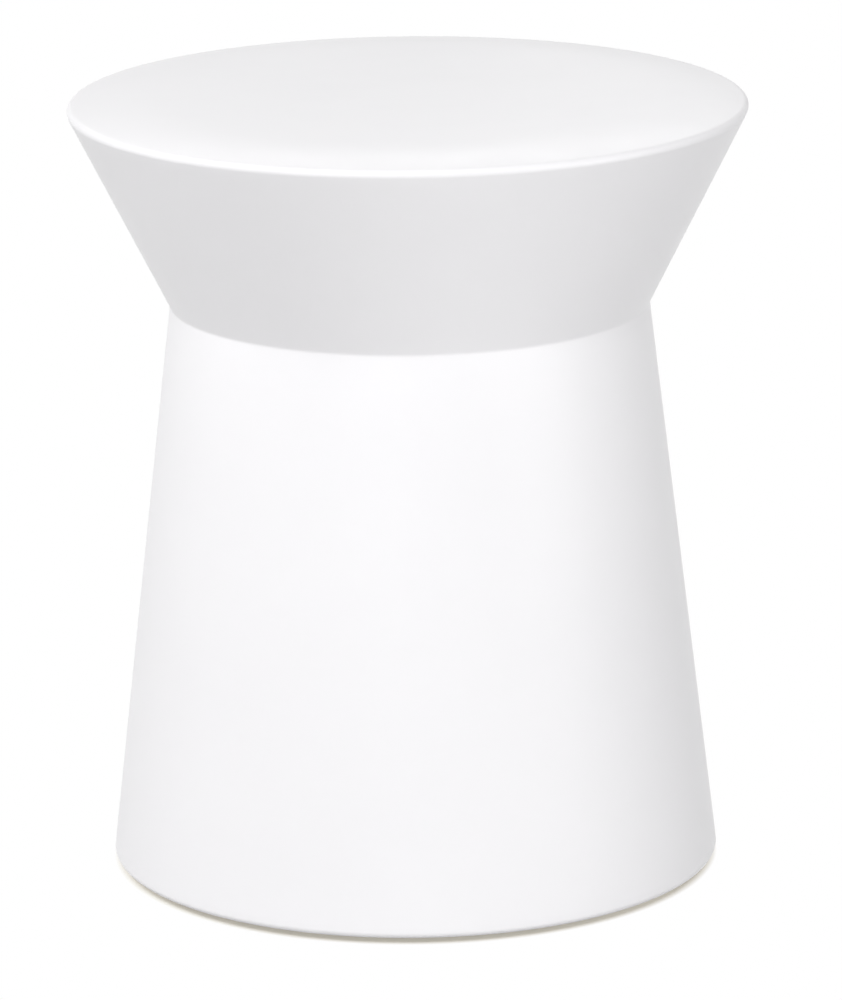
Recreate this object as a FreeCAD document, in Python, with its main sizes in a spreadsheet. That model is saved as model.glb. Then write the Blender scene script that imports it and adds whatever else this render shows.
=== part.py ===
import FreeCAD, Part
import math
import os
import re

import Sketcher
from FreeCAD import Rotation, Vector

# White side table of two conical drums that meet at a waist.
# Each drum is a bent plywood skin on radial ribs, tenoned into ring-shaped formers.
# The drums are bolted together at the waist, the top is screwed down from inside,
# and the table stands on glides under its foot. +Z is up, and the origin is on the
# floor below the table's centre. Sizes are in millimetres.

# Driving sizes, in the order in which they stand in the sheet
SIZES = {
    # Outline
    "top_radius": 202,
    "waist_radius": 142,
    "base_radius": 182,
    "waist_height": 343,
    "upper_drum_height": 124,
    "foot_gap": 5,
    # Rim and foot edges
    "rim_roll_width": 30,
    "rim_roll_drop": 4.2,
    "rim_roll_blend": 340,
    "rim_edge_radius": 3.5,
    "foot_edge_radius": 2,
    # Boards and skins
    "top_thickness": 18,
    "collar_thickness": 15,
    "disc_thickness": 15,
    "base_ring_thickness": 18,
    "skin_thickness": 5,
    "rib_thickness": 12,
    "glue_gap": 0.2,
    # Widths of the formers, from outer edge to bore
    "collar_width": 59,
    "disc_width": 59,
    "base_ring_width": 60,
    # Rib joints
    "tenon_width": 26,
    "tenon_relief": 1,
    "mortise_clearance": 0.15,
    # Waist bolts; bolts and dowels take turns in the bays between ribs
    "bolt_count": 3,
    "bolt_radius": 3,
    "bolt_clearance": 0.25,
    "bolt_head_circle_radius": 5.77,
    "bolt_head_height": 4,
    "bolt_end_showing": 1.5,
    "washer_radius": 9,
    "washer_thickness": 1.6,
    "washer_clearance": 0.2,
    "tee_flange_radius": 9.5,
    "tee_flange_thickness": 1.5,
    "tee_barrel_radius": 4,
    "tee_barrel_length": 10,
    "tee_barrel_clearance": 0.1,
    "thread_fit": 0.05,
    # Waist dowels
    "dowel_radius": 4,
    "dowel_half_length": 12,
    "dowel_clearance": 0.1,
    "dowel_end_gap": 0.5,
    "dowel_bevel": 1,
    # Screws into the top panel
    "top_screw_radius": 2,
    "top_screw_grip": 11,
    "top_screw_head_radius": 4,
    "top_screw_head_depth": 2.2,
    "top_screw_tip_length": 3,
    "screw_clearance": 0.2,
    # Glides and their screws
    "glide_radius": 12,
    "glide_bevel": 1,
    "glide_recess": 1.5,
    "glide_screw_radius": 1.5,
    "glide_screw_grip": 12,
    "glide_screw_head_radius": 3,
    "glide_screw_head_depth": 1.6,
    "glide_screw_tip_length": 2.5,
    # Overrun of every cutting tool past the faces that it goes through
    "cut_overrun": 2,
}

doc = FreeCAD.newDocument("SideTable")
sheet = doc.addObject("Spreadsheet::Sheet", "Sizes")
for row, (size_name, size_value) in enumerate(SIZES.items(), start=1):
    sheet.set(f"A{row}", size_name)
    sheet.set(f"B{row}", str(size_value))
    sheet.setAlias(f"B{row}", size_name)
doc.recompute()

parts = []


# Formulas in the names of the sizes
def in_sheet(formula):
    """Points every size that a formula names at its cell in the sheet."""
    return re.sub(r"[a-z_]+", lambda word: f"Sizes.{word[0]}" if word[0] in SIZES else word[0], formula)


def measure(formula):
    """The present value of a formula."""
    return float(sheet.evalExpression(in_sheet(formula)))


def bind(target, **formulas):
    """Ties properties of an object to formulas. A double underscore stands for a dot."""
    for prop, formula in formulas.items():
        target.setExpression(prop.replace("__", "."), in_sheet(formula))


# Both cones are straight from the waist outwards, so a radius follows from a height.
TOP_HEIGHT = "(waist_height + upper_drum_height)"
RIM_HEIGHT = f"({TOP_HEIGHT} - rim_roll_drop)"
UPPER_SLOPE = f"((top_radius - waist_radius) / ({RIM_HEIGHT} - waist_height))"
LOWER_SLOPE = "((base_radius - waist_radius) / (waist_height - foot_gap))"


def upper_face(height):
    return f"(waist_radius + ({height} - waist_height) * {UPPER_SLOPE})"


def lower_face(height):
    return f"(waist_radius + (waist_height - {height}) * {LOWER_SLOPE})"


def upper_lining(height):
    return f"({upper_face(height)} - skin_thickness * sqrt(1 + {UPPER_SLOPE} ^ 2))"


def lower_lining(height):
    return f"({lower_face(height)} - skin_thickness * sqrt(1 + {LOWER_SLOPE} ^ 2))"


# Heights of the faces at which the formers, ribs and skins meet
TOP_UNDERSIDE = f"({TOP_HEIGHT} - top_thickness)"
COLLAR_UNDERSIDE = f"({TOP_UNDERSIDE} - collar_thickness)"
UPPER_DISC_TOP = "(waist_height + disc_thickness)"
LOWER_DISC_UNDERSIDE = "(waist_height - disc_thickness)"
BASE_RING_TOP = "(foot_gap + base_ring_thickness)"

# Radii of each former's edge, of its bore, and of the middle, where its tenons and fasteners go
COLLAR_OUTER = f"({upper_lining(COLLAR_UNDERSIDE)} - glue_gap)"
UPPER_DISC_OUTER = f"({upper_lining('waist_height')} - glue_gap)"
LOWER_DISC_OUTER = f"({lower_lining('waist_height')} - glue_gap)"
BASE_RING_OUTER = f"({lower_lining(BASE_RING_TOP)} - glue_gap)"
COLLAR_BORE = f"({COLLAR_OUTER} - collar_width)"
DISC_BORE = f"({UPPER_DISC_OUTER} - disc_width)"
BASE_RING_BORE = f"({BASE_RING_OUTER} - base_ring_width)"
COLLAR_MIDDLE = f"({COLLAR_OUTER} - collar_width / 2)"
WAIST_MIDDLE = f"({UPPER_DISC_OUTER} - disc_width / 2)"
BASE_MIDDLE = f"({BASE_RING_OUTER} - base_ring_width / 2)"

# Turns about the table's axis: ribs stand at whole steps, and what is between them at half steps
RIB_COUNT = "(2 * bolt_count)"
RIB_STEP = f"(360 / {RIB_COUNT})"
FIRST_BAY = f"({RIB_STEP} / 2)"
SECOND_BAY = f"({FIRST_BAY} + {RIB_STEP})"
MORTISE_HALF_WIDTH = "(tenon_width / 2 + mortise_clearance)"
MORTISE_HALF_THICKNESS = "(rib_thickness / 2 + mortise_clearance)"


# Sketches and features
def origin_item(body, role):
    """An origin plane or axis of a body."""
    return next(item for item in body.Origin.OriginFeatures if item.Role == role)


def new_body(name):
    body = doc.addObject("PartDesign::Body", name)
    body.Label = name
    parts.append(body)
    return body


def corner_arc(before, corner, after, radius):
    """Anticlockwise arc that rounds a corner, and whether it starts on the incoming line."""
    back = (before - corner).normalize()
    onward = (after - corner).normalize()
    half_angle = back.getAngle(onward) / 2
    centre = corner + (back + onward).normalize() * (radius / math.sin(half_angle))
    reach = radius / math.tan(half_angle)
    start, end = corner + back * reach, corner + onward * reach
    turns_left = back.cross(onward).z < 0
    if not turns_left:
        start, end = end, start
    angles = [math.atan2(point.y - centre.y, point.x - centre.x) for point in (start, end)]
    return Part.ArcOfCircle(Part.Circle(centre, Vector(0, 0, 1), radius), *angles), turns_left


def sketch_outline(body, name, plane, corners):
    """Closed outline in one of a body's origin planes.

    Each corner is a formula across, a formula up and, where it is rounded, a formula for its radius.
    """
    sketch = body.newObject("Sketcher::SketchObject", name)
    sketch.AttachmentSupport = (origin_item(body, plane), [""])
    sketch.MapMode = "FlatFace"
    places = [Vector(measure(corner[0]), measure(corner[1]), 0) for corner in corners]
    for start, end in zip(places, places[1:] + places[:1]):
        sketch.addGeometry(Part.LineSegment(start, end))
    for index, (across, up, *radius) in enumerate(corners):
        before = (index - 1) % len(corners)
        held = (index, 1)
        if radius:
            after = places[(index + 1) % len(corners)]
            value = measure(radius[0])
            arc_shape, turns_left = corner_arc(places[before], places[index], after, value)
            arc = sketch.addGeometry(arc_shape)
            first, last = (1, 2) if turns_left else (2, 1)
            point = sketch.addGeometry(Part.Point(places[index]), True)
            held = (point, 1)
            sketch.addConstraint(Sketcher.Constraint("Tangent", before, 2, arc, first))
            sketch.addConstraint(Sketcher.Constraint("Tangent", arc, last, index, 1))
            sketch.addConstraint(Sketcher.Constraint("PointOnObject", point, 1, before))
            sketch.addConstraint(Sketcher.Constraint("PointOnObject", point, 1, index))
            number = sketch.addConstraint(Sketcher.Constraint("Radius", arc, value))
            sketch.setExpression(f"Constraints[{number}]", in_sheet(radius[0]))
        else:
            sketch.addConstraint(Sketcher.Constraint("Coincident", before, 2, index, 1))
        hold_point(sketch, held, "DistanceX", "Vertical", across, places[index].x)
        hold_point(sketch, held, "DistanceY", "Horizontal", up, places[index].y)
    return sketch


def hold_point(sketch, held, distance, alignment, formula, value):
    """Holds a point in line with its sketch's origin, or at a formula's distance from it."""
    origin = (-1, 1)
    if formula == "0":
        sketch.addConstraint(Sketcher.Constraint(alignment, *origin, *held))
        return
    number = sketch.addConstraint(Sketcher.Constraint(distance, *origin, *held, value))
    sketch.setExpression(f"Constraints[{number}]", in_sheet(formula))


def turned_piece(name, corners, sweep=360, backwards=False):
    """Body of revolution about the table's axis, from corners that are a radius and a height."""
    body = new_body(name)
    sketch = sketch_outline(body, name + "_outline", "XZ_Plane", corners)
    turning = body.newObject("PartDesign::Revolution", name + "_turning")
    turning.Profile = sketch
    turning.ReferenceAxis = (sketch, ["V_Axis"])
    turning.Angle = sweep
    turning.Reversed = backwards
    doc.recompute()
    return body


def repeat_round(body, name, originals, count):
    """Repeats features about the table's axis."""
    pattern = body.newObject("PartDesign::PolarPattern", name)
    pattern.Originals = originals
    pattern.Axis = (origin_item(body, "Z_Axis"), [""])
    pattern.Angle = 360
    bind(pattern, Occurrences=count)
    body.Tip = pattern
    doc.recompute()


def solid_at(body, kind, name, pitch, turn, height, **sizes):
    """Cylinder, cone or prism feature that stands at a radius and turn from the table's axis."""
    feature = body.newObject(f"PartDesign::{kind}", name)
    bind(feature, **sizes)
    bind(
        feature,
        Placement__Base__x=f"{pitch} * cos({turn})",
        Placement__Base__y=f"{pitch} * sin({turn})",
        Placement__Base__z=height,
    )
    return feature


def cut_checked(body, name, originals, count):
    """Repeats cutting features, and makes sure that they took material away."""
    before = originals[0].BaseFeature.Shape.Volume
    repeat_round(body, name, originals, count)
    if body.Shape.Volume >= before:
        raise ValueError(f"{name} cuts nothing")


def through_hole(body, name, pitch, turn, low, high, radius):
    """Cylindrical cut from below one face to above another."""
    return solid_at(
        body, "SubtractiveCylinder", name, pitch, turn, f"{low} - cut_overrun",
        Radius=radius, Height=f"{high} - {low} + 2 * cut_overrun",
    )


def mortises(body, name, middle):
    """One slot for each rib's tenon, right through a former."""
    edge_in = f"{middle} - {MORTISE_HALF_WIDTH}"
    edge_out = f"{middle} + {MORTISE_HALF_WIDTH}"
    corners = [
        (edge_in, f"-{MORTISE_HALF_THICKNESS}"),
        (edge_out, f"-{MORTISE_HALF_THICKNESS}"),
        (edge_out, MORTISE_HALF_THICKNESS),
        (edge_in, MORTISE_HALF_THICKNESS),
    ]
    sketch = sketch_outline(body, name + "_outline", "XY_Plane", corners)
    pocket = body.newObject("PartDesign::Pocket", name)
    pocket.Profile = sketch
    pocket.SideType = "Symmetric"
    pocket.Type = "Length"
    bind(pocket, Length=f"2 * ({TOP_HEIGHT} + cut_overrun)")
    doc.recompute()
    cut_checked(body, name + "_round", [pocket], RIB_COUNT)


# The top panel, whose side carries on the upper cone and whose rim rolls off softly
def make_top_panel():
    body = turned_piece("top_panel", [
        ("0", TOP_UNDERSIDE),
        (upper_face(TOP_UNDERSIDE), TOP_UNDERSIDE),
        ("top_radius", RIM_HEIGHT, "rim_edge_radius"),
        ("top_radius - rim_roll_width", TOP_HEIGHT, "rim_roll_blend"),
        ("0", TOP_HEIGHT),
    ])
    pilot = solid_at(
        body, "SubtractiveCylinder", "screw_pilot", COLLAR_MIDDLE, FIRST_BAY,
        f"{TOP_UNDERSIDE} - cut_overrun",
        Radius="top_screw_radius + thread_fit",
        Height="cut_overrun + top_screw_grip + screw_clearance",
    )
    doc.recompute()
    cut_checked(body, "screw_pilots", [pilot], RIB_COUNT)


# Bent plywood skins, each drum in two halves whose butt joints lie on ribs
def make_skins():
    upper = [
        (upper_lining("waist_height"), "waist_height"),
        ("waist_radius", "waist_height"),
        (upper_face(TOP_UNDERSIDE), TOP_UNDERSIDE),
        (upper_lining(TOP_UNDERSIDE), TOP_UNDERSIDE),
    ]
    lower = [
        (lower_lining("foot_gap"), "foot_gap"),
        ("base_radius", "foot_gap", "foot_edge_radius"),
        ("waist_radius", "waist_height"),
        (lower_lining("waist_height"), "waist_height"),
    ]
    for side, backwards in (("rear", False), ("front", True)):
        turned_piece(f"upper_skin_{side}", upper, 180, backwards)
        turned_piece(f"lower_skin_{side}", lower, 180, backwards)


# Formers: rings and discs whose edges are bevelled to the cones
def make_collar_ring():
    body = turned_piece("upper_collar_ring", [
        (COLLAR_BORE, COLLAR_UNDERSIDE),
        (COLLAR_OUTER, COLLAR_UNDERSIDE),
        (f"{upper_lining(TOP_UNDERSIDE)} - glue_gap", TOP_UNDERSIDE),
        (COLLAR_BORE, TOP_UNDERSIDE),
    ])
    mortises(body, "collar_mortise", COLLAR_MIDDLE)
    hole = through_hole(
        body, "top_screw_hole", COLLAR_MIDDLE, FIRST_BAY, COLLAR_UNDERSIDE, TOP_UNDERSIDE,
        "top_screw_radius + screw_clearance",
    )
    sink = solid_at(
        body, "SubtractiveCone", "top_screw_sink", COLLAR_MIDDLE, FIRST_BAY, COLLAR_UNDERSIDE,
        Radius1="top_screw_head_radius + screw_clearance",
        Radius2="top_screw_radius + screw_clearance",
        Height="top_screw_head_depth",
    )
    doc.recompute()
    cut_checked(body, "top_screw_holes", [hole, sink], RIB_COUNT)


def make_upper_waist_disc():
    body = turned_piece("upper_waist_disc", [
        (DISC_BORE, "waist_height"),
        (UPPER_DISC_OUTER, "waist_height"),
        (f"{upper_lining(UPPER_DISC_TOP)} - glue_gap", UPPER_DISC_TOP),
        (DISC_BORE, UPPER_DISC_TOP),
    ])
    mortises(body, "upper_mortise", WAIST_MIDDLE)
    hole = through_hole(
        body, "tee_nut_hole", WAIST_MIDDLE, FIRST_BAY, "waist_height", UPPER_DISC_TOP,
        "tee_barrel_radius + tee_barrel_clearance",
    )
    doc.recompute()
    cut_checked(body, "tee_nut_holes", [hole], "bolt_count")
    socket = solid_at(
        body, "SubtractiveCylinder", "upper_dowel_socket", WAIST_MIDDLE, SECOND_BAY,
        "waist_height - cut_overrun",
        Radius="dowel_radius + dowel_clearance",
        Height="cut_overrun + dowel_half_length + dowel_end_gap",
    )
    doc.recompute()
    cut_checked(body, "upper_dowel_sockets", [socket], "bolt_count")


def make_lower_waist_disc():
    body = turned_piece("lower_waist_disc", [
        (DISC_BORE, LOWER_DISC_UNDERSIDE),
        (f"{lower_lining(LOWER_DISC_UNDERSIDE)} - glue_gap", LOWER_DISC_UNDERSIDE),
        (LOWER_DISC_OUTER, "waist_height"),
        (DISC_BORE, "waist_height"),
    ])
    mortises(body, "lower_mortise", WAIST_MIDDLE)
    hole = through_hole(
        body, "bolt_hole", WAIST_MIDDLE, FIRST_BAY, LOWER_DISC_UNDERSIDE, "waist_height",
        "bolt_radius + bolt_clearance",
    )
    doc.recompute()
    cut_checked(body, "bolt_holes", [hole], "bolt_count")
    socket = solid_at(
        body, "SubtractiveCylinder", "lower_dowel_socket", WAIST_MIDDLE, SECOND_BAY,
        "waist_height - dowel_half_length - dowel_end_gap",
        Radius="dowel_radius + dowel_clearance",
        Height="dowel_half_length + dowel_end_gap + cut_overrun",
    )
    doc.recompute()
    cut_checked(body, "lower_dowel_sockets", [socket], "bolt_count")


def make_base_ring():
    body = turned_piece("base_ring", [
        (BASE_RING_BORE, "foot_gap"),
        (f"{lower_lining('foot_gap')} - glue_gap", "foot_gap"),
        (BASE_RING_OUTER, BASE_RING_TOP),
        (BASE_RING_BORE, BASE_RING_TOP),
    ])
    mortises(body, "base_mortise", BASE_MIDDLE)
    pilot = solid_at(
        body, "SubtractiveCylinder", "glide_pilot", BASE_MIDDLE, FIRST_BAY,
        "foot_gap - cut_overrun",
        Radius="glide_screw_radius + thread_fit",
        Height="cut_overrun + glide_screw_grip + screw_clearance",
    )
    doc.recompute()
    cut_checked(body, "glide_pilots", [pilot], RIB_COUNT)


# Ribs: webs with a tenon at each end, an outer edge along the skin and an inner edge from bore to bore
def rib_outer(lining):
    """Where a rib's square-cut outer edge stops, so that its corners clear the round skin."""
    return f"sqrt(({lining} - glue_gap) ^ 2 - (rib_thickness / 2) ^ 2)"


# Each end of a rib: shoulder height, inner and outer radius, tenon's middle, and how far the tenon reaches
LOWER_RIB_ENDS = [
    (BASE_RING_TOP, BASE_RING_BORE, rib_outer(lower_lining(BASE_RING_TOP)),
     BASE_MIDDLE, "(tenon_relief - base_ring_thickness)"),
    (LOWER_DISC_UNDERSIDE, DISC_BORE, rib_outer(lower_lining(LOWER_DISC_UNDERSIDE)),
     WAIST_MIDDLE, "(disc_thickness - tenon_relief)"),
]
UPPER_RIB_ENDS = [
    (UPPER_DISC_TOP, DISC_BORE, rib_outer(upper_lining(UPPER_DISC_TOP)),
     WAIST_MIDDLE, "(tenon_relief - disc_thickness)"),
    (COLLAR_UNDERSIDE, COLLAR_BORE, rib_outer(upper_lining(COLLAR_UNDERSIDE)),
     COLLAR_MIDDLE, "(collar_thickness - tenon_relief)"),
]


def rib_end_corners(height, inner, outer, middle, reach):
    """Corners of one end of a rib, from its inner edge round the tenon to its outer edge."""
    tenon_in = f"{middle} - tenon_width / 2"
    tenon_out = f"{middle} + tenon_width / 2"
    tenon_end = f"{height} + {reach}"
    return [
        (inner, height), (tenon_in, height), (tenon_in, tenon_end),
        (tenon_out, tenon_end), (tenon_out, height), (outer, height),
    ]


def make_rib(name, ends, turn):
    low_end, high_end = (rib_end_corners(*end) for end in ends)
    body = new_body(name)
    sketch = sketch_outline(body, name + "_outline", "XZ_Plane", low_end + high_end[::-1])
    pad = body.newObject("PartDesign::Pad", name + "_web")
    pad.Profile = sketch
    pad.SideType = "Symmetric"
    bind(pad, Length="rib_thickness")
    body.Placement = FreeCAD.Placement(Vector(), Rotation(Vector(0, 0, 1), turn))


def make_ribs():
    for index in range(int(measure(RIB_COUNT))):
        turn = index * measure(RIB_STEP)
        make_rib(f"lower_rib_{index + 1}", LOWER_RIB_ENDS, turn)
        make_rib(f"upper_rib_{index + 1}", UPPER_RIB_ENDS, turn)


# Fasteners: each kind is one body of separate, equal solids
def fastener_group(name, pitch, turn, count, features):
    """Builds one fastener from its features, then repeats it about the table's axis."""
    body = new_body(name)
    body.AllowCompound = True
    made = []
    for kind, feature_name, height, sizes in features:
        made.append(solid_at(body, kind, feature_name, pitch, turn, height, **sizes))
        doc.recompute()
    repeat_round(body, name + "_round", made, count)
    return body


def make_waist_fasteners():
    head_top = f"({LOWER_DISC_UNDERSIDE} - washer_thickness)"
    bolt_end = f"({UPPER_DISC_TOP} + tee_flange_thickness + bolt_end_showing)"
    fastener_group("waist_bolts", WAIST_MIDDLE, FIRST_BAY, "bolt_count", [
        ("AdditivePrism", "bolt_head", f"{head_top} - bolt_head_height",
         {"Circumradius": "bolt_head_circle_radius", "Height": "bolt_head_height"}),
        ("AdditiveCylinder", "bolt_shank", head_top,
         {"Radius": "bolt_radius", "Height": f"{bolt_end} - {head_top}"}),
    ])
    fastener_group("waist_washers", WAIST_MIDDLE, FIRST_BAY, "bolt_count", [
        ("AdditiveCylinder", "washer_disc", head_top,
         {"Radius": "washer_radius", "Height": "washer_thickness"}),
        ("SubtractiveCylinder", "washer_bore", f"{head_top} - cut_overrun",
         {"Radius": "bolt_radius + washer_clearance", "Height": "washer_thickness + 2 * cut_overrun"}),
    ])
    barrel_end = f"({UPPER_DISC_TOP} - tee_barrel_length)"
    fastener_group("waist_tee_nuts", WAIST_MIDDLE, FIRST_BAY, "bolt_count", [
        ("AdditiveCylinder", "tee_flange", UPPER_DISC_TOP,
         {"Radius": "tee_flange_radius", "Height": "tee_flange_thickness"}),
        ("AdditiveCylinder", "tee_barrel", barrel_end,
         {"Radius": "tee_barrel_radius", "Height": "tee_barrel_length"}),
        ("SubtractiveCylinder", "tee_bore", f"{barrel_end} - cut_overrun",
         {"Radius": "bolt_radius + thread_fit",
          "Height": "tee_barrel_length + tee_flange_thickness + 2 * cut_overrun"}),
    ])


def make_waist_dowels():
    dowel_end = "(waist_height - dowel_half_length)"
    bevelled = {"Radius1": "dowel_radius - dowel_bevel", "Radius2": "dowel_radius", "Height": "dowel_bevel"}
    tapered = {"Radius1": "dowel_radius", "Radius2": "dowel_radius - dowel_bevel", "Height": "dowel_bevel"}
    fastener_group("waist_dowels", WAIST_MIDDLE, SECOND_BAY, "bolt_count", [
        ("AdditiveCone", "dowel_lower_end", dowel_end, bevelled),
        ("AdditiveCylinder", "dowel_pin", f"{dowel_end} + dowel_bevel",
         {"Radius": "dowel_radius", "Height": "2 * (dowel_half_length - dowel_bevel)"}),
        ("AdditiveCone", "dowel_upper_end", "waist_height + dowel_half_length - dowel_bevel", tapered),
    ])


def make_screws(name, pitch, head_face, radius, head_radius, head_depth, shank_length, tip_length):
    """Countersunk wood screws that point upwards, with their heads' faces at a height."""
    fastener_group(name, pitch, FIRST_BAY, RIB_COUNT, [
        ("AdditiveCone", name + "_head", head_face,
         {"Radius1": head_radius, "Radius2": radius, "Height": head_depth}),
        ("AdditiveCylinder", name + "_shank", f"{head_face} + {head_depth}",
         {"Radius": radius, "Height": shank_length}),
        ("AdditiveCone", name + "_tip", f"{head_face} + {head_depth} + {shank_length}",
         {"Radius1": radius, "Radius2": "0", "Height": tip_length}),
    ])


# Glides: turned feet with a countersunk hole, and the screws that hold them to the base ring
GLIDE_HEAD_FACE = "glide_recess"


def make_glides():
    for index in range(int(measure(RIB_COUNT))):
        name = f"glide_{index + 1}"
        body = turned_piece(name, [
            ("glide_screw_head_radius + screw_clearance", "0"),
            ("glide_radius - glide_bevel", "0"),
            ("glide_radius", "glide_bevel"),
            ("glide_radius", "foot_gap"),
            ("glide_screw_radius + screw_clearance", "foot_gap"),
            ("glide_screw_radius + screw_clearance", f"{GLIDE_HEAD_FACE} + glide_screw_head_depth"),
            ("glide_screw_head_radius + screw_clearance", GLIDE_HEAD_FACE),
        ])
        turn = f"({index} * {RIB_STEP} + {FIRST_BAY})"
        bind(
            body,
            Placement__Base__x=f"{BASE_MIDDLE} * cos({turn})",
            Placement__Base__y=f"{BASE_MIDDLE} * sin({turn})",
        )


make_top_panel()
make_skins()
make_collar_ring()
make_upper_waist_disc()
make_lower_waist_disc()
make_base_ring()
make_ribs()
make_waist_fasteners()
make_waist_dowels()
make_screws(
    "top_screws", COLLAR_MIDDLE, COLLAR_UNDERSIDE, "top_screw_radius", "top_screw_head_radius",
    "top_screw_head_depth",
    "(collar_thickness - top_screw_head_depth + top_screw_grip - top_screw_tip_length)",
    "top_screw_tip_length",
)
make_glides()
make_screws(
    "glide_screws", BASE_MIDDLE, GLIDE_HEAD_FACE, "glide_screw_radius", "glide_screw_head_radius",
    "glide_screw_head_depth",
    "(foot_gap - glide_recess - glide_screw_head_depth + glide_screw_grip - glide_screw_tip_length)",
    "glide_screw_tip_length",
)

# Checks, then one file for each piece
doc.recompute()
for item in doc.Objects:
    if "Invalid" in item.State or "Error" in item.State:
        raise ValueError(f"{item.Label} did not rebuild: {item.State}")
for part in parts:
    if part.Shape.isNull() or not part.Shape.isValid():
        raise ValueError(f"{part.Label} has no valid shape")

os.makedirs("parts", exist_ok=True)
for part in parts:
    part.Shape.exportStep(os.path.join("parts", part.Label + ".step"))
    print(part.Label, len(part.Shape.Solids), "solids", round(part.Shape.Volume), "mm3")
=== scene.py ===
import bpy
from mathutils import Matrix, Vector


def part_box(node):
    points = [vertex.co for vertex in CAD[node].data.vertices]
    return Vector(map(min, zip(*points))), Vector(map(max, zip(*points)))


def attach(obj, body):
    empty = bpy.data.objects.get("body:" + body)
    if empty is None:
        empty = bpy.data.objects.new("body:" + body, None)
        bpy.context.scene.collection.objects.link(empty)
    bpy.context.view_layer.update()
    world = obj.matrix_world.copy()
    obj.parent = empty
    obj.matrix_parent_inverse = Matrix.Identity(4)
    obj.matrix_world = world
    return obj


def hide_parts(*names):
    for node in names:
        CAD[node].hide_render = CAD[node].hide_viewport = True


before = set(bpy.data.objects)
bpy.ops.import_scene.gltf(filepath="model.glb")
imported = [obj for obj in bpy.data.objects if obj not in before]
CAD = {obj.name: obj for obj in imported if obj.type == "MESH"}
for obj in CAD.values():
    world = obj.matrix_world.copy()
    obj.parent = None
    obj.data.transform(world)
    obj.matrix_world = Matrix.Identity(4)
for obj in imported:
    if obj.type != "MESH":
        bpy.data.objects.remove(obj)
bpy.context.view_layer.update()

import math

import bmesh
import bpy
from mathutils import Matrix, Vector, noise

# A white lacquered side table of two conical drums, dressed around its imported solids.
# Lengths are in metres, with the floor at height zero and the table's axis up through the origin.

# Edges of the turned outside. The rim's are those of the solids. The foot's edge and the waist's
# crease are rounder than on the solids, by the build-up of the lacquer.
RIM_ROLL_DROP = 0.0042
RIM_ROLL_WIDTH = 0.03
RIM_ROLL_BLEND = 0.34
RIM_EDGE_RADIUS = 0.0035
FOOT_EDGE_RADIUS = 0.0035
CREASE_RADIUS = 0.004

# Fineness of the turned meshes: slices of a full turn, steps of a rounded corner, length of a row
SLICES = 360
ARC_STEPS = 12
ROW_LENGTH = 0.004

# Differences that count as none, and edges that count as sharp
SLACK = 1e-5
WELD_DISTANCE = SLACK / 10
SHARP_ANGLE = math.radians(30)

# Slow waves in the lacquered boards, always inwards from the true outline
WAVE_DEPTH = 0.0001
WAVE_PITCH = 0.06


# Sizes read from the solids
def heights(node):
    """Heights of a node's underside and top."""
    return (corner.z for corner in map(Vector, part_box(node)))


def radius_at(node, height, pick):
    """Least or greatest distance from the axis of a node's vertices at a height."""
    places = (vertex.co for vertex in CAD[node].data.vertices)
    return pick([place.xy.length for place in places if abs(place.z - height) < SLACK])


foot_height, waist_height = heights("lower_skin_front")
top_underside, top_height = heights("top_panel")
waist_radius = radius_at("upper_skin_front", waist_height, max)
under_radius = radius_at("upper_skin_front", top_underside, max)
upper_waist_lining = radius_at("upper_skin_front", waist_height, min)
rim_lining = radius_at("upper_skin_front", top_underside, min)
lower_waist_lining = radius_at("lower_skin_front", waist_height, min)
foot_lining = radius_at("lower_skin_front", foot_height, min)
foot_radius = foot_lining + waist_radius - lower_waist_lining
upper_slope = (under_radius - waist_radius) / (top_underside - waist_height)
rim_height = top_height - RIM_ROLL_DROP
rim_radius = waist_radius + upper_slope * (rim_height - waist_height)


# New objects
def placed(name, data):
    """New object in the scene, made of its data."""
    item = bpy.data.objects.new(name, data)
    bpy.context.scene.collection.objects.link(item)
    return item


def piece_of(name, mesh):
    """New object made of a mesh in the making, which is used up."""
    bmesh.ops.recalc_face_normals(mesh, faces=mesh.faces)
    data = bpy.data.meshes.new(name)
    mesh.to_mesh(data)
    mesh.free()
    data.set_sharp_from_angle(angle=SHARP_ANGLE)
    return placed(name, data)


# Outlines and turned meshes, with two material slots
OUTSIDE, RAW = 0, 1


def rounded(corners):
    """Points along an outline, each with the slot of the side that follows.

    A corner is a radius, a height, that slot and, where the corner is round, an arc's radius.
    """
    points = []
    for index, (across, up, slot, *arc) in enumerate(corners):
        corner = Vector((across, up))
        if not arc:
            points.append((corner, slot))
            continue
        radius = arc[0]
        back = (Vector(corners[index - 1][:2]) - corner).normalized()
        onward = (Vector(corners[(index + 1) % len(corners)][:2]) - corner).normalized()
        half_angle = back.angle(onward) / 2
        centre = corner + (back + onward).normalized() * (radius / math.sin(half_angle))
        start = corner + back * (radius / math.tan(half_angle)) - centre
        end = corner + onward * (radius / math.tan(half_angle)) - centre
        first = math.atan2(start.y, start.x)
        turn = math.remainder(math.atan2(end.y, end.x) - first, math.tau)
        for step in range(ARC_STEPS + 1):
            angle = first + turn * step / ARC_STEPS
            points.append((centre + Vector((math.cos(angle), math.sin(angle))) * radius, slot))
    return points


def subdivided(points, closed):
    """Cuts the sides of an outline into short rows."""
    rows = []
    for index, (start, slot) in enumerate(points):
        end = points[(index + 1) % len(points)][0]
        if not closed and index == len(points) - 1:
            rows.append((start, slot))
            break
        count = max(1, round((end - start).length / ROW_LENGTH))
        rows += [(start.lerp(end, step / count), slot) for step in range(count)]
    return rows


def wave(place):
    """Inward shift of the lacquered outside at a place."""
    return WAVE_DEPTH * (noise.noise(place / WAVE_PITCH) - 1) / 2


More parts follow.
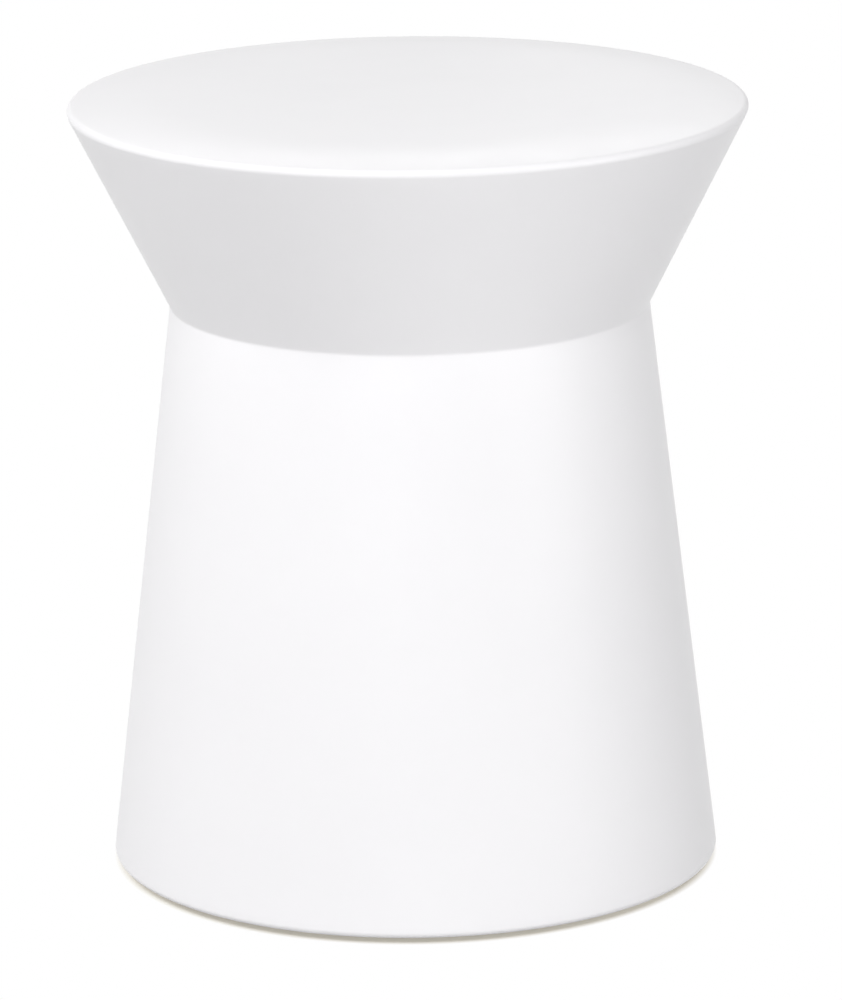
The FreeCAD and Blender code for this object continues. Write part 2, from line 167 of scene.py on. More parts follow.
def turned(name, corners, start=0.0, sweep=math.tau, closed=True):
    """New object turned about the axis from an outline, with flat ends unless it is a full turn."""
    rows = subdivided(rounded(corners), closed)
    full = abs(sweep - math.tau) < SLACK
    slices = round(SLICES * sweep / math.tau)
    mesh = bmesh.new()
    rings = []
    for step in range(slices if full else slices + 1):
        turn = start + sweep * step / slices
        ring = []
        for index, (point, slot) in enumerate(rows):
            place = Vector((point.x * math.cos(turn), point.x * math.sin(turn), point.y))
            if OUTSIDE in (slot, rows[index - 1][1]) and point.x > SLACK:
                place += Vector((math.cos(turn), math.sin(turn), 0)) * wave(place)
            ring.append(mesh.verts.new(place))
        rings.append(ring)
    for step in range(slices):
        ring, after = rings[step], rings[(step + 1) % len(rings)]
        for index in range(len(rows) if closed else len(rows) - 1):
            beside = (index + 1) % len(rows)
            face = mesh.faces.new((ring[index], after[index], after[beside], ring[beside]))
            face.material_index = rows[index][1]
            face.smooth = True
    if not full:
        for ring in (rings[0], rings[-1]):
            mesh.faces.new(ring).material_index = RAW
    bmesh.ops.remove_doubles(mesh, verts=mesh.verts, dist=WELD_DISTANCE)
    return piece_of(name, mesh)


# Materials
MIX_FIRST, MIX_SECOND, MIX_RESULT = 6, 7, 2  # a colour Mix node's sockets
SPREAD = (0.3, 0.7)  # values between which nearly all of a noise lies


class Nodes:
    """Short ways to add nodes to a tree."""

    def __init__(self, tree):
        self.tree = tree

    def give(self, target, value):
        """Links an input to a socket, or sets it to a constant. A colour has no alpha here."""
        if isinstance(value, bpy.types.NodeSocket):
            self.tree.links.new(value, target)
        elif target.type == "RGBA":
            target.default_value = (*value, 1)
        else:
            target.default_value = value

    def node(self, kind, inputs=(), **settings):
        """New node with its settings, and its inputs by name or number."""
        node = self.tree.nodes.new(kind)
        for key, value in settings.items():
            setattr(node, key, value)
        for key, value in dict(inputs).items():
            self.give(node.inputs[key], value)
        return node

    def maths(self, operation, *values):
        """Result of a maths node."""
        return self.node("ShaderNodeMath", enumerate(values), operation=operation).outputs["Value"]

    def seen(self):
        """One for what the camera sees directly, in a reflection or through glass."""
        rays = self.node("ShaderNodeLightPath").outputs
        glossy = self.maths("MAXIMUM", rays["Is Camera Ray"], rays["Is Glossy Ray"])
        return self.maths("MAXIMUM", glossy, rays["Is Transmission Ray"])


class Look(Nodes):
    """A new node material."""

    def __init__(self, name):
        self.material = bpy.data.materials.new(name)
        self.material.use_nodes = True
        super().__init__(self.material.node_tree)
        self.shader = self.tree.nodes["Principled BSDF"]
        self.place = self.node("ShaderNodeTexCoord").outputs["Object"]

    def noise(self, scale, detail, roughness=0.5, place=None):
        """Noise in space, with its scale in cycles a metre."""
        inputs = {"Scale": scale, "Detail": detail, "Roughness": roughness}
        inputs["Vector"] = place or self.place
        return self.node("ShaderNodeTexNoise", inputs).outputs["Fac"]

    def stretched(self, scale, turn=0.0):
        """The place, turned back about the table's axis, then stretched along each axis."""
        inputs = {"Scale": [1 / factor for factor in scale], "Rotation": (0, 0, turn)}
        inputs["Vector"] = self.place
        return self.node("ShaderNodeMapping", inputs, vector_type="TEXTURE").outputs["Vector"]

    def ranged(self, value, low, high, out_low=0.0, out_high=1.0):
        """A value's range brought to another range, and held within it."""
        inputs = {"From Min": low, "From Max": high, "To Min": out_low, "To Max": out_high}
        inputs["Value"] = value
        return self.node("ShaderNodeMapRange", inputs).outputs["Result"]

    def mixed(self, factor, first, second):
        """Colour between two colours, each a colour or a socket."""
        inputs = {"Factor": factor, MIX_FIRST: first, MIX_SECOND: second}
        return self.node("ShaderNodeMix", inputs, data_type="RGBA").outputs[MIX_RESULT]

    def off_axis(self, back=0.0):
        """Distance from the table's axis, or from an upright line behind it."""
        inputs = (self.place, (1, 1, 0), (0, -back, 0))
        flat = self.node("ShaderNodeVectorMath", enumerate(inputs), operation="MULTIPLY_ADD")
        inputs = {0: flat.outputs["Vector"]}
        return self.node("ShaderNodeVectorMath", inputs, operation="LENGTH").outputs["Value"]

    def bump(self, height, distance, before=None):
        """Normal of a bumpy surface, on top of the bumps before it."""
        inputs = {"Distance": distance, "Height": height}
        if before:
            inputs["Normal"] = before
        return self.node("ShaderNodeBump", inputs).outputs["Normal"]

    def finish(self, colour, roughness, normal, **constants):
        """The material, with its shader's sockets linked and its constants set."""
        sockets = {"Base_Color": colour, "Roughness": roughness, "Normal": normal}
        for key, value in (sockets | constants).items():
            self.give(self.shader.inputs[key.replace("_", " ")], value)
        return self.material


LACQUER_LIGHT = (0.873, 0.866, 0.880)
LACQUER_DARK = (0.862, 0.855, 0.870)
SPRAY_FADE = 0.025
SPRAY_RAGGEDNESS = 0.02


def lacquer_look():
    """White satin-gloss lacquer: faint clouds, orange peel and slow waves."""
    look = Look("white_lacquer")
    clouds = look.ranged(look.noise(9, 3), *SPREAD)
    colour = look.mixed(clouds, LACQUER_DARK, LACQUER_LIGHT)
    gloss = look.ranged(look.noise(40, 3), *SPREAD, 0.28, 0.34)
    waves = look.bump(look.noise(14, 1), 0.0004)
    peel = look.bump(look.noise(620, 1), 0.00001, waves)
    return look.finish(colour, gloss, peel, IOR=1.45, Specular_IOR_Level=0.2)


def fibreboard_look(name, spray_start=None):
    """Raw fibreboard, with white overspray outwards of a radius where one is given."""
    dark, pale, blotch = (0.30, 0.205, 0.12), (0.40, 0.29, 0.18), (0.36, 0.255, 0.155)
    look = Look(name)
    fibres = look.ranged(look.noise(900, 4, 0.7), 0.35, 0.65)
    blotches = look.ranged(look.noise(30, 3), *SPREAD)
    colour = look.mixed(blotches, look.mixed(fibres, dark, pale), blotch)
    if spray_start:
        drift = look.noise(160, 5, 0.8)
        ragged = look.maths("MULTIPLY_ADD", drift, SPRAY_RAGGEDNESS, look.off_axis())
        mist = look.ranged(ragged, spray_start, spray_start + SPRAY_FADE)
        colour = look.mixed(mist, colour, LACQUER_DARK)
    rough = look.ranged(fibres, 0, 1, 0.75, 0.9)
    fuzz = look.bump(look.noise(1500, 3), 0.00006)
    return look.finish(colour, rough, fuzz, Specular_IOR_Level=0.25)


def plywood_look(name, turn):
    """Birch plywood of a rib at a turn about the axis, with its plies across its thickness."""
    dark, pale, glue_line = (0.56, 0.40, 0.235), (0.68, 0.52, 0.33), (0.36, 0.22, 0.115)
    look = Look(name)
    inputs = {"Scale": 0.31, "Distortion": 0.4, "Detail": 1}
    inputs["Vector"] = look.stretched((60, 750, 9), turn)
    bands = {"wave_type": "BANDS", "bands_direction": "Y", "wave_profile": "SIN"}
    plies = look.node("ShaderNodeTexWave", inputs, **bands).outputs["Fac"]
    grain = look.noise(1, 5, 0.6, look.stretched((160, 160, 14), turn))
    wood = look.mixed(look.ranged(grain, *SPREAD), dark, pale)
    colour = look.mixed(look.ranged(plies, 0.2, 0.6), glue_line, wood)
    rough = look.ranged(grain, *SPREAD, 0.55, 0.7)
    return look.finish(colour, rough, look.bump(grain, 0.00012), Specular_IOR_Level=0.35)


def wood_look(name, dark, pale, roughness, depth, detail, stretch):
    """Raw wood with its grain running up the table."""
    look = Look(name)
    grain = look.noise(1, detail, 0.6, look.stretched(stretch))
    colour = look.mixed(look.ranged(grain, *SPREAD), dark, pale)
    rough = look.ranged(grain, *SPREAD, *roughness)
    return look.finish(colour, rough, look.bump(grain, depth), Specular_IOR_Level=0.35)


def zinc_look():
    """Bright zinc plate with fine drawn lines and slight clouding."""
    dark, pale = (0.50, 0.52, 0.55), (0.66, 0.67, 0.68)
    look = Look("zinc_plated_steel")
    clouds = look.ranged(look.noise(240, 3), *SPREAD)
    colour = look.mixed(clouds, dark, pale)
    rough = look.ranged(look.noise(700, 2), *SPREAD, 0.26, 0.4)
    lines = look.bump(look.noise(1, 3, 0.6, look.stretched((900, 900, 4000))), 0.00001)
    return look.finish(colour, rough, lines, Metallic=1.0)


def nylon_look():
    """White moulded nylon."""
    dark, pale = (0.74, 0.74, 0.70), (0.80, 0.80, 0.765)
    look = Look("nylon")
    clouds = look.ranged(look.noise(90, 3), *SPREAD)
    colour = look.mixed(clouds, dark, pale)
    rough = look.ranged(look.noise(500, 3), *SPREAD, 0.38, 0.5)
    return look.finish(colour, rough, look.bump(look.noise(1200, 2), 0.00002))


lacquer = lacquer_look()
fibreboard = fibreboard_look("fibreboard")
veneer = wood_look(
    "bent_plywood_inside", (0.50, 0.355, 0.21), (0.63, 0.475, 0.30), roughness=(0.6, 0.75),
    depth=0.00015, detail=6, stretch=(140, 140, 9),
)


def wear(piece, *materials):
    """Gives a piece its materials. A new mesh isn't cleared, which would reset its faces' slots."""
    if piece.data.materials:
        piece.data.materials.clear()
    for material in materials:
        piece.data.materials.append(material)


# The lacquered outside: finer pieces for the top panel and the four half skins
def stand_for(piece, node, *materials):
    """Puts a lacquered piece in the place of a CAD node."""
    wear(piece, *materials)
    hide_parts(node)
    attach(piece, "root")


def make_top():
    """The top panel: a flat middle, a slow roll towards the rim and a small edge radius."""
    piece = turned("top_panel_lacquered", [
        (0, top_underside, RAW),
        (under_radius, top_underside, OUTSIDE),
        (rim_radius, rim_height, OUTSIDE, RIM_EDGE_RADIUS),
        (rim_radius - RIM_ROLL_WIDTH, top_height, OUTSIDE, RIM_ROLL_BLEND),
        (0, top_height, OUTSIDE),
    ], closed=False)
    stand_for(piece, "top_panel", lacquer, fibreboard)


def waist_crease():
    """Points of the lacquer's fillet at the waist: below the joint, at the joint and above it."""
    outline = rounded([
        (foot_radius, foot_height, OUTSIDE),
        (waist_radius, waist_height, OUTSIDE, CREASE_RADIUS),
        (under_radius, top_underside, OUTSIDE),
    ])
    fillet = [point for point, _ in outline[1:-1]]
    below = [point for point in fillet if point.y < waist_height]
    above = [point for point in fillet if point.y > waist_height]
    last, first = below[-1], above[0]
    joint = last.lerp(first, (waist_height - last.y) / (first.y - last.y))
    return below, joint, above


def make_skins():
    """The four half skins, which meet at the sides and at the waist."""
    below, joint, above = waist_crease()
    upper = [
        (upper_waist_lining, waist_height, RAW),
        (*joint, OUTSIDE),
        *((*point, OUTSIDE) for point in above),
        (under_radius, top_underside, RAW),
        (rim_lining, top_underside, RAW),
    ]
    lower = [
        (foot_lining, foot_height, OUTSIDE),
        (foot_radius, foot_height, OUTSIDE, FOOT_EDGE_RADIUS),
        *((*point, OUTSIDE) for point in below),
        (*joint, RAW),
        (lower_waist_lining, waist_height, RAW),
    ]
    for side, start in (("rear", 0.0), ("front", math.pi)):
        for drum, outline in (("upper", upper), ("lower", lower)):
            node = f"{drum}_skin_{side}"
            piece = turned(f"{node}_lacquered", outline, start, math.pi)
            stand_for(piece, node, lacquer, veneer)


make_top()
make_skins()


# Fasteners, dowels and glides: finer pieces in the places of the solids, with threads and recesses.
# First the fineness of their meshes and the size of an eased edge.
SIDES = 36
ROWS_PER_PITCH = 6
EASED = 0.0002

# Bolts, with as many washers, tee nuts and dowels; ribs of a drum, with as many top screws and
# glides; and the turn about the axis at which the first of each stands
BOLT_COUNT = 3
RIB_COUNT = 6
BOLT_TURN = SCREW_TURN = math.radians(30)
DOWEL_TURN = math.radians(90)


def standing(node, count, first_turn):
    """Middle, underside and top of each of a node's equal solids, which stand round the axis."""
    boxes = []
    for index in range(count):
        turn = first_turn + index * math.tau / count
        towards = Vector((math.cos(turn), math.sin(turn)))
        places = (vertex.co for vertex in CAD[node].data.vertices)
        mine = [place for place in places if place.xy.angle(towards) < math.pi / count]
        low, high = (Vector(map(pick, zip(*mine))) for pick in (min, max))
        boxes.append(((low + high) / 2, low.z, high.z))
    return boxes


def spun(mesh, centre, rows, closed=False, open_start=False):
    """Skins rows of a height and a radius, or a function of the turn, about an upright axis."""
    rings = []
    for height, radius in rows:
        ring = []
        for step in range(SIDES):
            turn = math.tau * step / SIDES
            reach = radius(turn) if callable(radius) else radius
            across, along = reach * math.cos(turn), reach * math.sin(turn)
            ring.append(mesh.verts.new((centre.x + across, centre.y + along, height)))
        rings.append(ring)
    for ring, after in zip(rings, rings[1:] + rings[:1] if closed else rings[1:]):
        for step in range(SIDES):
            beside = (step + 1) % SIDES
            mesh.faces.new((ring[step], ring[beside], after[beside], after[step]))
    if not closed:
        mesh.faces.new(rings[-1])
        if not open_start:
            mesh.faces.new(rings[0])
    return rings


def hexagon(corner_radius):
    """Radius of a hexagon as a function of the turn."""
    sixth = math.tau / 6
    flat_radius = corner_radius * math.cos(sixth / 2)
    return lambda turn: flat_radius / math.cos(turn % sixth - sixth / 2)


def thread(low, high, crest, root, pitch, sharpness=1.0):
    """Rows of a screw thread. A sharpness above one leaves a wider root between its crests."""
    def at(height):
        def radius(turn):
            phase = ((height - low) / pitch - turn / math.tau) % 1
            ridge = max(0, 1 - sharpness * abs(2 * phase - 1))
            fade = min(1, (height - low) / pitch, (high - height) / pitch)
            return root(height) + (crest(height) - root(height)) * ridge * fade
        return radius
    count = round((high - low) / pitch * ROWS_PER_PITCH)
    levels = [low + (high - low) * step / count for step in range(count + 1)]
    return [(height, at(height)) for height in levels]


def finish_piece(name, mesh, node, material):
    """Makes an object of a mesh that stands for a CAD node."""
    for face in mesh.faces:
        face.smooth = True
    piece = piece_of(name, mesh)
    wear(piece, material)
    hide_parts(node)
    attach(piece, "root")


BOLT_HEAD_CORNER = 0.00577
BOLT_HEAD_HEIGHT = 0.004
BOLT_HEAD_FLAT = 0.00465
BOLT_RADIUS = 0.003
BOLT_ROOT = 0.00245
BOLT_PITCH = 0.001
BOLT_THREAD = 0.018
BOLT_CHAMFER_STEPS = 5
BOLT_CHAMFER_SLOPE = math.tan(math.radians(30))


def make_bolts(material):
    """Hexagon bolts, with their heads down."""
    mesh = bmesh.new()
    head = hexagon(BOLT_HEAD_CORNER)
    chamfer = (BOLT_HEAD_CORNER - BOLT_HEAD_FLAT) * BOLT_CHAMFER_SLOPE
    for middle, low, high in standing("waist_bolts", BOLT_COUNT, BOLT_TURN):
        rows = []
        for step in range(BOLT_CHAMFER_STEPS + 1):
            up = chamfer * step / BOLT_CHAMFER_STEPS
            reach = BOLT_HEAD_FLAT + up / BOLT_CHAMFER_SLOPE
            rows.append((low + up, lambda turn, reach=reach: min(head(turn), reach)))
        neck = low + BOLT_HEAD_HEIGHT
        rows += [(neck, head), (neck, BOLT_RADIUS + EASED), (neck + EASED, BOLT_RADIUS)]
        rows += thread(
            high - BOLT_THREAD, high - EASED, lambda _: BOLT_RADIUS,
            lambda _: BOLT_ROOT, BOLT_PITCH,
        )
        rows.append((high, BOLT_ROOT - EASED))
        spun(mesh, middle, rows)
    finish_piece("waist_bolts_threaded", mesh, "waist_bolts", material)


WASHER_BORE = 0.0032
WASHER_RADIUS = 0.009


def make_washers(material):
    """Washers with eased edges."""
    mesh = bmesh.new()
    inner, outer = WASHER_BORE, WASHER_RADIUS
    for middle, low, high in standing("waist_washers", BOLT_COUNT, BOLT_TURN):
        spun(mesh, middle, [
            (low, inner + EASED), (low, outer - EASED), (low + EASED, outer),
            (high - EASED, outer), (high, outer - EASED), (high, inner + EASED),
            (high - EASED, inner), (low + EASED, inner),
        ], closed=True)
    finish_piece("waist_washers_eased", mesh, "waist_washers", material)


TEE_BARREL_RADIUS = 0.004
TEE_BORE = 0.00305
TEE_FLANGE_RADIUS = 0.0095
TEE_FLANGE_THICKNESS = 0.0015
TEE_NOTCH_RADIUS = 0.0074
TEE_NOTCH_HALF_ANGLE = math.radians(11)
PRONG_LENGTH = 0.006
PRONG_THICKNESS = 0.001
PRONG_HALF_WIDTH = 0.0016
PRONG_COUNT = 4


def notched(reach):
    """Flange edge with a notch where each prong is pressed out of it."""
    def radius(turn):
        off_prong = abs(math.remainder(turn, math.tau / PRONG_COUNT))
        return min(reach, TEE_NOTCH_RADIUS) if off_prong < TEE_NOTCH_HALF_ANGLE else reach
    return radius


def add_prong(mesh, middle, turn, top, tip):
    """Tapering prong of a tee nut, from the flange down to its tip."""
    ends = []
    for height, half_width in ((top, PRONG_HALF_WIDTH), (tip, EASED)):
        corners = []
        for across, reach in ((-1, 0), (1, 0), (1, PRONG_THICKNESS), (-1, PRONG_THICKNESS)):
            offset = turn @ Vector((TEE_NOTCH_RADIUS + reach - EASED, across * half_width, 0))
            corners.append(mesh.verts.new((middle.x + offset.x, middle.y + offset.y, height)))
        ends.append(corners)
        mesh.faces.new(corners)
    first, last = ends
    for side in range(4):
        beside = (side + 1) % 4
        mesh.faces.new((first[side], first[beside], last[beside], last[side]))


def make_tee_nuts(material):
    """Tee nuts, whose flanges lie on top with their prongs driven down into the board."""
    mesh = bmesh.new()
    edge, inset_edge = notched(TEE_FLANGE_RADIUS), notched(TEE_FLANGE_RADIUS - EASED)
    for middle, low, high in standing("waist_tee_nuts", BOLT_COUNT, BOLT_TURN):
        seat = high - TEE_FLANGE_THICKNESS
        spun(mesh, middle, [
            (low, TEE_BORE + EASED), (low, TEE_BARREL_RADIUS - EASED),
            (low + EASED, TEE_BARREL_RADIUS), (seat, TEE_BARREL_RADIUS),
            (seat, inset_edge), (seat + EASED, edge), (high - EASED, edge), (high, inset_edge),
            (high, TEE_BORE + EASED), (high - EASED, TEE_BORE), (low + EASED, TEE_BORE),
        ], closed=True)
        for index in range(PRONG_COUNT):
            turn = Matrix.Rotation(index * math.tau / PRONG_COUNT, 3, "Z")
            add_prong(mesh, middle, turn, high, seat - PRONG_LENGTH)
    finish_piece("waist_tee_nuts_pronged", mesh, "waist_tee_nuts", material)


DOWEL_RADIUS = 0.004
DOWEL_BEVEL = 0.001
FLUTE_COUNT = 12
FLUTE_DEPTH = 0.0003


def make_dowels(material):
    """Dowels with glue flutes and bevelled ends."""
    mesh = bmesh.new()

    def fluted(turn):
        return DOWEL_RADIUS - FLUTE_DEPTH * (0.5 - 0.5 * math.cos(FLUTE_COUNT * turn)) ** 2

    for middle, low, high in standing("waist_dowels", BOLT_COUNT, DOWEL_TURN):
        spun(mesh, middle, [
            (low, DOWEL_RADIUS - DOWEL_BEVEL), (low + DOWEL_BEVEL, fluted),
            (high - DOWEL_BEVEL, fluted), (high, DOWEL_RADIUS - DOWEL_BEVEL),
        ])
    finish_piece("waist_dowels_fluted", mesh, "waist_dowels", material)


# Cross recesses: shares of the head's radius, of its depth, and of the recess at its floor
RECESS_REACH_SHARE = 0.62
RECESS_WIDTH_SHARE = 0.16
RECESS_DEPTH_SHARE = 0.75
RECESS_FLOOR_SHARE = 0.7
RECESS_ARMS = 4
ARM_POINTS = 3


def cross_recess(mesh, rim, middle, height, head_radius, depth):
    """Head face with a cross recess inside the rim of its points, which starts at the turn zero."""
    reach = head_radius * RECESS_REACH_SHARE
    half = head_radius * RECESS_WIDTH_SHARE
    quarter = len(rim) // RECESS_ARMS
    near = round(math.atan2(half, reach) / math.tau * len(rim)) or 1
    mouth = []
    for index in range(RECESS_ARMS):
        turn = Matrix.Rotation(index * math.tau / RECESS_ARMS, 3, "Z")
        for across, up in ((reach, -half), (reach, half), (half, half)):
            offset = turn @ Vector((across, up, 0))
            mouth.append(mesh.verts.new((middle.x + offset.x, middle.y + offset.y, height)))
    floor = []
    centre = Vector((middle.x, middle.y, height))
    for point in mouth:
        inward = centre.lerp(point.co, RECESS_FLOOR_SHARE)
        floor.append(mesh.verts.new((inward.x, inward.y, height + depth * RECESS_FLOOR_SHARE)))
    tip = mesh.verts.new((middle.x, middle.y, height + depth))
    for index in range(len(mouth)):
        beside = (index + 1) % len(mouth)
        mesh.faces.new((mouth[index], mouth[beside], floor[beside], floor[index]))
        mesh.faces.new((floor[index], floor[beside], tip))

    def arc(start, first, last):
        return [rim[(start + step) % len(rim)] for step in range(first, last + 1)]

    for index in range(RECESS_ARMS):
        arm, arm_side, inner = mouth[index * ARM_POINTS:(index + 1) * ARM_POINTS]
        next_arm = mouth[(index + 1) * ARM_POINTS % len(mouth)]
        start = index * quarter
        mesh.faces.new([arm_side, arm] + arc(start, -near, near))
        mesh.faces.new([next_arm, inner, arm_side] + arc(start, near, quarter - near))


SCREW_SHARPNESS = 1.6
TOP_SCREWS = {
    "radius": 0.002, "root": 0.0013, "head_radius": 0.004, "head_depth": 0.0022,
    "tip_length": 0.003, "pitch": 0.0018, "smooth_length": 0.008,
}
GLIDE_SCREWS = {
    "radius": 0.0015, "root": 0.001, "head_radius": 0.003, "head_depth": 0.0016,
    "tip_length": 0.0025, "pitch": 0.00135, "smooth_length": 0.0025,
}


def make_screws(
    node, material, radius, root, head_radius, head_depth, tip_length, pitch, smooth_length,
):
    """Wood screws, with their countersunk heads down."""
    mesh = bmesh.new()
    for middle, low, high in standing(node, RIB_COUNT, SCREW_TURN):
        shoulder = low + head_depth
        rows = [(low, head_radius - EASED), (low + EASED, head_radius), (shoulder, radius)]

        def slimmer(height, full):
            return full * min(1, max(EASED / radius, (high - height) / tip_length))

        rows += thread(
            shoulder + smooth_length, high - EASED, lambda height: slimmer(height, radius),
            lambda height: slimmer(height, root), pitch, SCREW_SHARPNESS,
        )
        rows.append((high, EASED / 2))
        rings = spun(mesh, middle, rows, open_start=True)
        cross_recess(mesh, rings[0], middle, low, head_radius, head_depth * RECESS_DEPTH_SHARE)
    finish_piece(f"{node}_threaded", mesh, node, material)


GLIDE_RADIUS = 0.012
GLIDE_BEVEL = 0.001
GLIDE_BEVEL_STEPS = 4
GLIDE_HOLE = 0.0017
GLIDE_HEAD_HOLE = 0.0032
GLIDE_RECESS = 0.0015
GLIDE_HEAD_DEPTH = 0.0016


def make_glides(material):
    """Round glides with rounded feet, and a recess that keeps the screw's head off the floor."""
    for index in range(RIB_COUNT):
        name = f"glide_{index + 1}"
        low, high = map(Vector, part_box(name))
        mesh = bmesh.new()
        rows = [(low.z, GLIDE_HEAD_HOLE)]
        for step in range(GLIDE_BEVEL_STEPS + 1):
            angle = math.tau / 4 * step / GLIDE_BEVEL_STEPS
            rise, inset = 1 - math.cos(angle), 1 - math.sin(angle)
            rows.append((low.z + GLIDE_BEVEL * rise, GLIDE_RADIUS - GLIDE_BEVEL * inset))
        rows += [
            (high.z - EASED, GLIDE_RADIUS), (high.z, GLIDE_RADIUS - EASED), (high.z, GLIDE_HOLE),
            (low.z + GLIDE_RECESS + GLIDE_HEAD_DEPTH, GLIDE_HOLE),
            (low.z + GLIDE_RECESS, GLIDE_HEAD_HOLE),
        ]
        spun(mesh, (low + high) / 2, rows, closed=True)
        finish_piece(f"{name}_moulded", mesh, name, material)


def make_hardware():
    """All the fasteners, the dowels and the glides."""
    zinc = zinc_look()
    make_bolts(zinc)
    make_washers(zinc)
    make_tee_nuts(zinc)
    make_dowels(wood_look(
        "beech", (0.52, 0.33, 0.18), (0.64, 0.44, 0.26), roughness=(0.5, 0.65),
        depth=0.00008, detail=5, stretch=(700, 700, 40),
    ))
    make_screws("top_screws", zinc, **TOP_SCREWS)
    make_screws("glide_screws", zinc, **GLIDE_SCREWS)
    make_glides(nylon_look())


make_hardware()

# Looks of the solids. Those that a finer piece stands for are hidden, and wear lacquer.
SPRAY_WIDTH = 0.03
FIBREBOARD_NODES = ("upper_collar_ring", "upper_waist_disc", "lower_waist_disc")


def dress_solids():
    """Gives every CAD node its material."""
    sprayed = fibreboard_look("sprayed_fibreboard", spray_start=foot_lining - SPRAY_WIDTH)
    by_name = {"base_ring": sprayed, **dict.fromkeys(FIBREBOARD_NODES, fibreboard)}
    for name, solid in CAD.items():
        kind, _, number = name.rpartition("_")
        if kind.endswith("_rib"):
            turn = (int(number) - 1) * math.tau / RIB_COUNT
            wear(solid, plywood_look(f"plywood_{name}", turn))
        else:
            wear(solid, by_name.get(name, lacquer))


dress_solids()

# Floor: a pale sheet that shows white to the camera, in reflections and through glass, but for the
# table's contact shadow: its real shading, and a painted warm shade ring round the foot, within a
# radius of an upright line just behind the axis. Both are lifted by a faint glow.
FLOOR_HALF = 6.0
FLOOR_TONE = (0.55, 0.55, 0.55)
FLOOR_DARK = (0.93, 0.93, 0.93)
FLOOR_PALE = (0.95, 0.95, 0.95)
WHITE = (1.0, 1.0, 1.0)
# Colour of the painted warm shade round the foot
PAINTED_WARM_SHADE = (1.0, 0.92, 0.74)
SHADE_BACK = 0.006
SHADE_RADIUS = 0.1768
WHITE_RADIUS = 0.1824
SHADE_GLOW = 0.34


def floor_look():
    """The floor's material, with a painted warm shade round the foot. The light that it throws back
    at the table has its tone alone.
    """
    look = Look("studio_floor")
    seen = look.seen()
    grain = look.ranged(look.noise(300, 3), *SPREAD)
    # A painted warm shade ring round the foot, fading to white between two radii
    away = look.ranged(look.off_axis(SHADE_BACK), SHADE_RADIUS, WHITE_RADIUS, SHADE_GLOW, 1.0)
    shown = look.mixed(away, PAINTED_WARM_SHADE, look.mixed(grain, FLOOR_DARK, FLOOR_PALE))
    look.give(look.shader.inputs["Base Color"], look.mixed(seen, FLOOR_TONE, shown))
    look.give(look.shader.inputs["Roughness"], 1.0)
    look.give(look.shader.inputs["Specular IOR Level"], 0.0)
    glow = look.node("ShaderNodeEmission", {"Color": look.mixed(away, PAINTED_WARM_SHADE, WHITE)})
    blend = look.node("ShaderNodeMixShader", {
        "Fac": look.maths("MULTIPLY", away, seen),
        1: look.shader.outputs["BSDF"],
        2: glow.outputs["Emission"],
    })
    look.give(look.tree.nodes["Material Output"].inputs["Surface"], blend.outputs["Shader"])
    return look.material


def make_floor():
    """A square sheet at height zero."""
    half = FLOOR_HALF
    corners = [(-half, -half, 0), (half, -half, 0), (half, half, 0), (-half, half, 0)]
    mesh = bpy.data.meshes.new("studio_floor")
    mesh.from_pydata(corners, [], [(0, 1, 2, 3)])
    floor = placed("studio_floor", mesh)
    wear(floor, floor_look())


# Light: a dim even world, which the camera, reflections and glass see as white, and soft boxes.
# A box's turn is from the front towards the right and its rise above level, both in degrees as
# seen from the aim. Then come its distance, width and height, and its level: the light that it
# throws on a white card that faces it at the aim.
WORLD_LEVEL = 0.21
AIM = Vector((0, 0, 0.25))
LAMPS = {
    "front_high": (-15, 38, 4, 2.4, 2.1, 0.535),
    "front_low": (-15, 12, 4, 2.4, 2.1, 0.122),
    "left_side": (-90, 38, 4, 2.4, 2.1, 0.44),
    "right_low": (60, 12, 4, 2.4, 2.1, 0.39),
    "rear_right": (150, 30, 1.9, 1.9, 0.9, 0.052),
    "rear_band": (-172, 31, 2.2, 1.6, 0.25, 0.056),
}


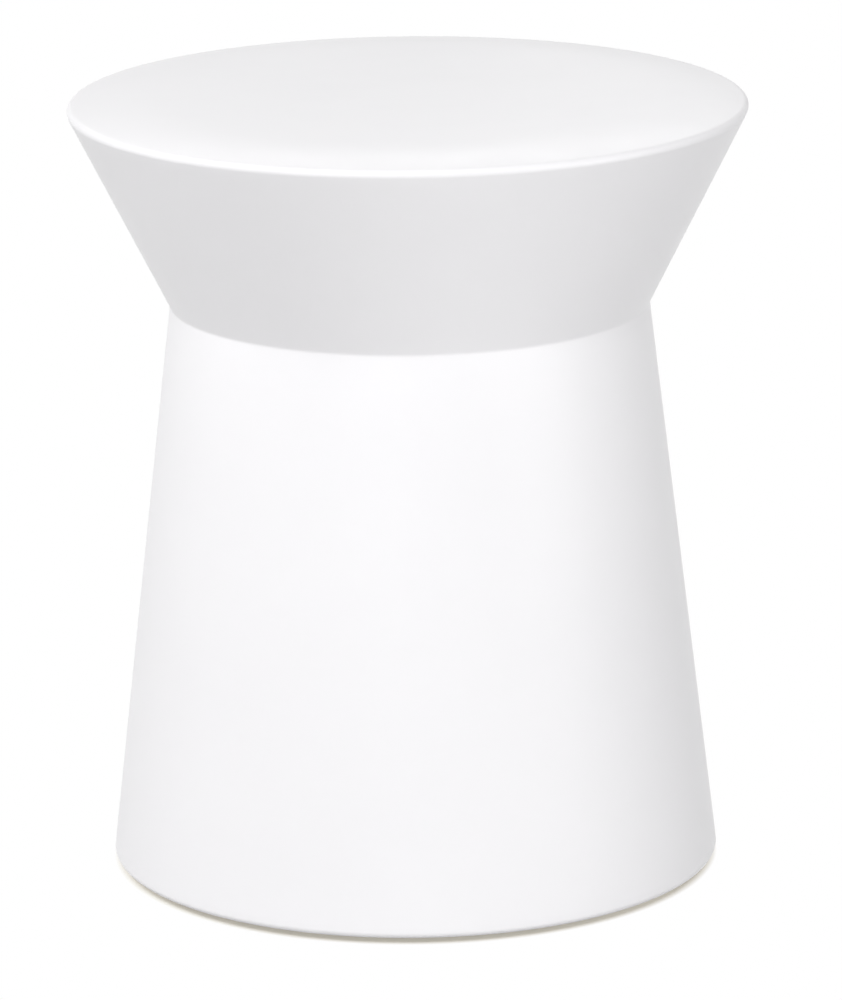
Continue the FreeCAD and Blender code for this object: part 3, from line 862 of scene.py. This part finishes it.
def make_world():
    """The even light from all round."""
    world = bpy.data.worlds.new("studio")
    bpy.context.scene.world = world
    world.use_nodes = True
    nodes = Nodes(world.node_tree)
    background = nodes.tree.nodes["Background"]
    nodes.give(background.inputs["Color"], WHITE)
    level = nodes.maths("MAXIMUM", nodes.seen(), WORLD_LEVEL)
    nodes.give(background.inputs["Strength"], level)


def make_lamp(name, turn, rise, distance, width, height, level):
    """A soft box that the camera doesn't see."""
    data = bpy.data.lights.new(name, "AREA")
    data.shape = "RECTANGLE"
    data.size = width
    data.size_y = height
    data.energy = level * (math.pi * distance) ** 2
    turn, rise = math.radians(turn), math.radians(rise)
    across, ahead = math.sin(turn) * math.cos(rise), -math.cos(turn) * math.cos(rise)
    towards = Vector((across, ahead, math.sin(rise)))
    lamp = placed(name, data)
    lamp.location = AIM + towards * distance
    lamp.rotation_euler = (-towards).to_track_quat("-Z", "Y").to_euler()
    lamp.visible_camera = False


make_floor()
make_world()
for lamp_name, lamp_values in LAMPS.items():
    make_lamp(lamp_name, *lamp_values)

# Camera: a long lens a little above the table, with the photograph's slight tilt. Its angles are
# in radians. The sensor is in millimetres, and lies along the frame's longer side, its height.
CAMERA_PLACE = Vector((0, -3.7697, 1.2224))
CAMERA_PITCH = 0.25992
CAMERA_YAW = 0.00142
CAMERA_ROLL = -0.01065
CAMERA_CLIP = (0.1, 50)
FOCAL_PIXELS = 6532.2
FRAME_HEIGHT_PIXELS = 1000
SENSOR = 36


def make_camera():
    """The camera at the photograph's place."""
    data = bpy.data.cameras.new("camera")
    data.sensor_width = SENSOR
    data.lens = SENSOR * FOCAL_PIXELS / FRAME_HEIGHT_PIXELS
    data.clip_start, data.clip_end = CAMERA_CLIP
    camera = placed("camera", data)
    camera.location = CAMERA_PLACE
    yaw = Matrix.Rotation(-CAMERA_YAW, 3, "Z")
    pitch = Matrix.Rotation(math.pi / 2 - CAMERA_PITCH, 3, "X")
    roll = Matrix.Rotation(CAMERA_ROLL, 3, "Z")
    camera.rotation_euler = (yaw @ pitch @ roll).to_euler()
    bpy.context.scene.camera = camera


make_camera()
bpy.context.scene.view_settings.view_transform = "Standard"
